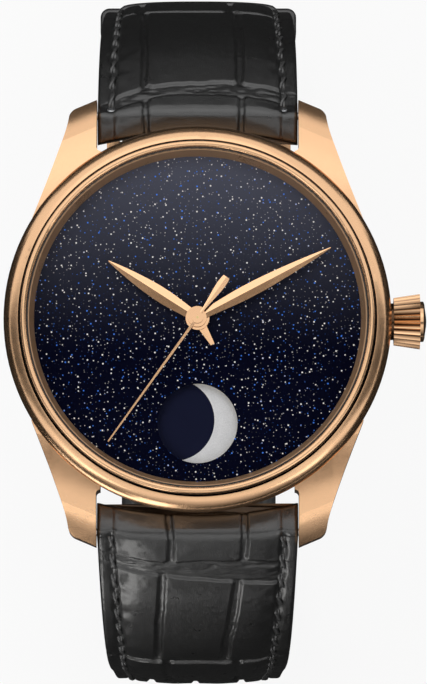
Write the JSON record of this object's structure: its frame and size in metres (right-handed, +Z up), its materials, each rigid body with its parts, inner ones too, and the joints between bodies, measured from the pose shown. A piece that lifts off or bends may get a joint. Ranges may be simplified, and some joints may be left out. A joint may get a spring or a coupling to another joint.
{
  "type": "moon phase watch",
  "caption": "Dress wristwatch with a round rose gold case, star-glitter dial, leaf hands, moon phase opening and padded leather strap.",
  "frame": {"origin": "on the table plane, on the flat sole of the lower strap half, below the axis of the hands", "axes": "+Z up out of the dial, +Y toward twelve, +X toward the crown"},
  "size_m": [0.0459, 0.0782, 0.0647],
  "materials": {
    "rose_gold": "mirror polished",
    "polished_steel": "fine grained",
    "gilt_brass": "gilded",
    "sapphire": "clear",
    "seal": "matte",
    "flange": "polished",
    "star_glass": "polished, with glitter",
    "moon_silver": "frosted",
    "night_blue": "polished, with glitter",
    "blued_steel": "blued",
    "plate_nickel": "striped",
    "ruby": "polished",
    "strap_leather": "scaled, semi-matte"
  },
  "bodies": {
    "watch_head": {"case_middle": "rose_gold", "case_back_ring": "rose_gold", "case_back_crystal": "sapphire", "case_back_screws": "rose_gold", "bezel": "rose_gold", "crystal": "sapphire", "crystal_gasket": "seal", "flange_ring": "flange", "casing_ring": "polished_steel", "dial": "star_glass", "dial_base": "gilt_brass", "hairspring": "blued_steel", "main_plate": "plate_nickel", "barrel_bridge": "plate_nickel", "train_bridge": "plate_nickel", "pallet_bridge": "plate_nickel", "balance_cock": "plate_nickel", "jewels": "ruby", "bridge_screws": "blued_steel", "crown_tube": "rose_gold", "spring_bars": "polished_steel"},
    "minute_group": {"minute_hand": "rose_gold", "cannon_pinion": "polished_steel"},
    "minute_wheel_body": {"minute_wheel": "gilt_brass"},
    "setting_wheel_body": {"setting_wheel": "polished_steel"},
    "friction_pinion_body": {"friction_pinion": "polished_steel"},
    "hour_group": {"hour_hand": "rose_gold", "hour_wheel": "gilt_brass"},
    "day_wheel_body": {"day_wheel": "gilt_brass"},
    "day_night_group": {"day_night_hand": "rose_gold", "day_night_wheel": "gilt_brass"},
    "moon_wheel_1_body": {"moon_wheel_1": "gilt_brass"},
    "moon_wheel_2_body": {"moon_wheel_2": "gilt_brass"},
    "moon_group": {"moon_disc": "moon_silver", "new_moon_inlays": "night_blue"},
    "seconds_group": {"seconds_hand": "rose_gold", "fourth_wheel": "gilt_brass"},
    "third_wheel_body": {"third_wheel": "gilt_brass"},
    "second_wheel_body": {"second_wheel": "gilt_brass"},
    "barrel_body": {"barrel": "gilt_brass"},
    "escape_wheel_body": {"escape_wheel": "polished_steel"},
    "pallet_body": {"pallet_fork": "polished_steel"},
    "balance_body": {"balance_wheel": "gilt_brass"},
    "crown_slider": {"crown_gasket": "seal"},
    "crown_group": {"crown": "rose_gold", "winding_stem": "polished_steel"},
    "winding_pinion_body": {"winding_pinion": "polished_steel"},
    "crown_wheel_body": {"crown_wheel": "polished_steel"},
    "ratchet_body": {"ratchet_wheel": "polished_steel", "barrel_arbor": "polished_steel"},
    "clutch_body": {"sliding_clutch": "polished_steel"},
    "setting_lever_body": {"setting_lever": "polished_steel"},
    "click_body": {"click": "polished_steel"},
    "strap_upper_body": {"strap_upper": "strap_leather", "keeper_fixed": "strap_leather"},
    "strap_lower_body": {"strap_lower": "strap_leather"},
    "keeper_free_body": {"keeper_free": "strap_leather"},
    "buckle_body": {"buckle_frame": "rose_gold", "buckle_bar": "rose_gold"},
    "tongue_body": {"buckle_tongue": "rose_gold"}
  },
  "joints": [
    {"name": "minutes_turn", "type": "hinge", "parent": "watch_head", "child": "minute_group", "pos_m": [0, 0, 0.05974], "axis": [0, 0, -1], "continuous": true},
    {"name": "minute_wheel_turn", "type": "hinge", "parent": "watch_head", "child": "minute_wheel_body", "pos_m": [0.00063, 0.00354, 0.05824], "axis": [0, 0, -1], "continuous": true},
    {"name": "setting_wheel_turn", "type": "hinge", "parent": "watch_head", "child": "setting_wheel_body", "pos_m": [0.005, 0, 0.05824], "axis": [0, 0, -1], "continuous": true},
    {"name": "friction_pinion_turn", "type": "hinge", "parent": "watch_head", "child": "friction_pinion_body", "pos_m": [-0.002, 0.006, 0.05824], "axis": [0, 0, -1], "continuous": true},
    {"name": "hours_turn", "type": "hinge", "parent": "watch_head", "child": "hour_group", "pos_m": [0, 0, 0.05874], "axis": [0, 0, -1], "continuous": true},
    {"name": "day_wheel_turn", "type": "hinge", "parent": "watch_head", "child": "day_wheel_body", "pos_m": [-0.00369, -0.00258, 0.05874], "axis": [0, 0, -1], "continuous": true},
    {"name": "day_night_turn", "type": "hinge", "parent": "watch_head", "child": "day_night_group", "pos_m": [0, 0, 0.05924], "axis": [0, 0, -1], "continuous": true},
    {"name": "moon_wheel_1_turn", "type": "hinge", "parent": "watch_head", "child": "moon_wheel_1_body", "pos_m": [-0.00547, -0.00679, 0.05874], "axis": [0, 0, -1], "continuous": true},
    {"name": "moon_wheel_2_turn", "type": "hinge", "parent": "watch_head", "child": "moon_wheel_2_body", "pos_m": [-0.00216, -0.00869, 0.05904], "axis": [0, 0, -1], "continuous": true},
    {"name": "moon_disc_turn", "type": "hinge", "parent": "watch_head", "child": "moon_group", "pos_m": [0, 0, 0.05954], "axis": [0, 0, -1], "continuous": true},
    {"name": "seconds_turn", "type": "hinge", "parent": "watch_head", "child": "seconds_group", "pos_m": [0, 0, 0.05774], "axis": [0, 0, -1], "continuous": true},
    {"name": "third_wheel_turn", "type": "hinge", "parent": "watch_head", "child": "third_wheel_body", "pos_m": [-0.00451, 0.00122, 0.05634], "axis": [0, 0, -1], "continuous": true},
    {"name": "second_wheel_turn", "type": "hinge", "parent": "watch_head", "child": "second_wheel_body", "pos_m": [-0.002, 0.006, 0.05664], "axis": [0, 0, -1], "continuous": true},
    {"name": "barrel_turn", "type": "hinge", "parent": "watch_head", "child": "barrel_body", "pos_m": [0.0035, 0.008, 0.05614], "axis": [0, 0, -1], "continuous": true},
    {"name": "escape_wheel_turn", "type": "hinge", "parent": "watch_head", "child": "escape_wheel_body", "pos_m": [0.00176, -0.00305, 0.05624], "axis": [0, 0, -1], "continuous": true},
    {"name": "pallet_swing", "type": "hinge", "parent": "watch_head", "child": "pallet_body", "pos_m": [0.00219, -0.00556, 0.05624], "axis": [0, 0, 1], "range_deg": [-5, 5]},
    {"name": "balance_swing", "type": "hinge", "parent": "watch_head", "child": "balance_body", "pos_m": [0.0026, -0.008, 0.05564], "axis": [0, 0, 1], "range_deg": [-270, 270]},
    {"name": "crown_pull", "type": "slide", "parent": "watch_head", "child": "crown_slider", "axis": [1, 0, 0], "range_m": [0, 0.0012]},
    {"name": "crown_turn", "type": "hinge", "parent": "crown_slider", "child": "crown_group", "pos_m": [0.022, 0, 0.05744], "axis": [1, 0, 0], "continuous": true},
    {"name": "winding_pinion_turn", "type": "hinge", "parent": "watch_head", "child": "winding_pinion_body", "pos_m": [0.0115, 0, 0.05744], "axis": [1, 0, 0], "continuous": true},
    {"name": "crown_wheel_turn", "type": "hinge", "parent": "watch_head", "child": "crown_wheel_body", "pos_m": [0.0095, 0, 0.05464], "axis": [0, 0, -1], "continuous": true},
    {"name": "ratchet_wheel_turn", "type": "hinge", "parent": "watch_head", "child": "ratchet_body", "pos_m": [0.0035, 0.008, 0.05464], "axis": [0, 0, -1], "continuous": true},
    {"name": "clutch_slide", "type": "slide", "parent": "watch_head", "child": "clutch_body", "axis": [1, 0, 0], "range_m": [-0.0008, 0]},
    {"name": "setting_lever_turn", "type": "hinge", "parent": "watch_head", "child": "setting_lever_body", "pos_m": [0.0133, 0.0026, 0.05814], "axis": [0, 0, 1], "range_deg": [0, 34.5]},
    {"name": "click_lift", "type": "hinge", "parent": "watch_head", "child": "click_body", "pos_m": [-0.0023, 0.0114, 0.05464], "axis": [0, 0, 1], "range_deg": [0, 8]},
    {"name": "strap_upper_swing", "type": "hinge", "parent": "watch_head", "child": "strap_upper_body", "pos_m": [0, 0.0228, 0.05554], "axis": [1, 0, 0], "range_deg": [0, 60]},
    {"name": "strap_lower_swing", "type": "hinge", "parent": "watch_head", "child": "strap_lower_body", "pos_m": [0, -0.0228, 0.05554], "axis": [-1, 0, 0], "range_deg": [0, 60]},
    {"name": "keeper_slide", "type": "slide", "parent": "strap_upper_body", "child": "keeper_free_body", "axis": [0, 0, 1], "range_m": [-0.003, 0.003]},
    {"name": "buckle_turn", "type": "hinge", "parent": "strap_upper_body", "child": "buckle_body", "pos_m": [0, 0.02633, 0.00182], "axis": [-1, 0, 0], "range_deg": [0, 60]},
    {"name": "tongue_turn", "type": "hinge", "parent": "buckle_body", "child": "tongue_body", "pos_m": [0, 0.02633, 0.00182], "axis": [-1, 0, 0], "range_deg": [0, 70]}
  ],
  "couplings": [
    {"joint": "minute_wheel_turn", "follows": "minutes_turn", "ratio": -0.33333},
    {"joint": "setting_wheel_turn", "follows": "minutes_turn", "ratio": 0.30769},
    {"joint": "friction_pinion_turn", "follows": "minutes_turn", "ratio": 1},
    {"joint": "hours_turn", "follows": "minutes_turn", "ratio": 0.083333},
    {"joint": "day_wheel_turn", "follows": "minutes_turn", "ratio": -0.041667},
    {"joint": "day_night_turn", "follows": "minutes_turn", "ratio": 0.041667},
    {"joint": "moon_wheel_1_turn", "follows": "minutes_turn", "ratio": 0.014815},
    {"joint": "moon_wheel_2_turn", "follows": "minutes_turn", "ratio": -0.0070547},
    {"joint": "moon_disc_turn", "follows": "minutes_turn", "ratio": 0.00047031},
    {"joint": "third_wheel_turn", "follows": "seconds_turn", "ratio": -0.13333},
    {"joint": "second_wheel_turn", "follows": "seconds_turn", "ratio": 0.016667},
    {"joint": "barrel_turn", "follows": "seconds_turn", "ratio": -0.0020833},
    {"joint": "escape_wheel_turn", "follows": "seconds_turn", "ratio": -10},
    {"joint": "winding_pinion_turn", "follows": "crown_turn", "ratio": 1},
    {"joint": "crown_wheel_turn", "follows": "crown_turn", "ratio": -0.5},
    {"joint": "ratchet_wheel_turn", "follows": "crown_turn", "ratio": 0.46154},
    {"joint": "clutch_slide", "follows": "crown_pull", "ratio": -0.66667},
    {"joint": "setting_lever_turn", "follows": "crown_pull", "rad_per_m": 500}
  ]
}
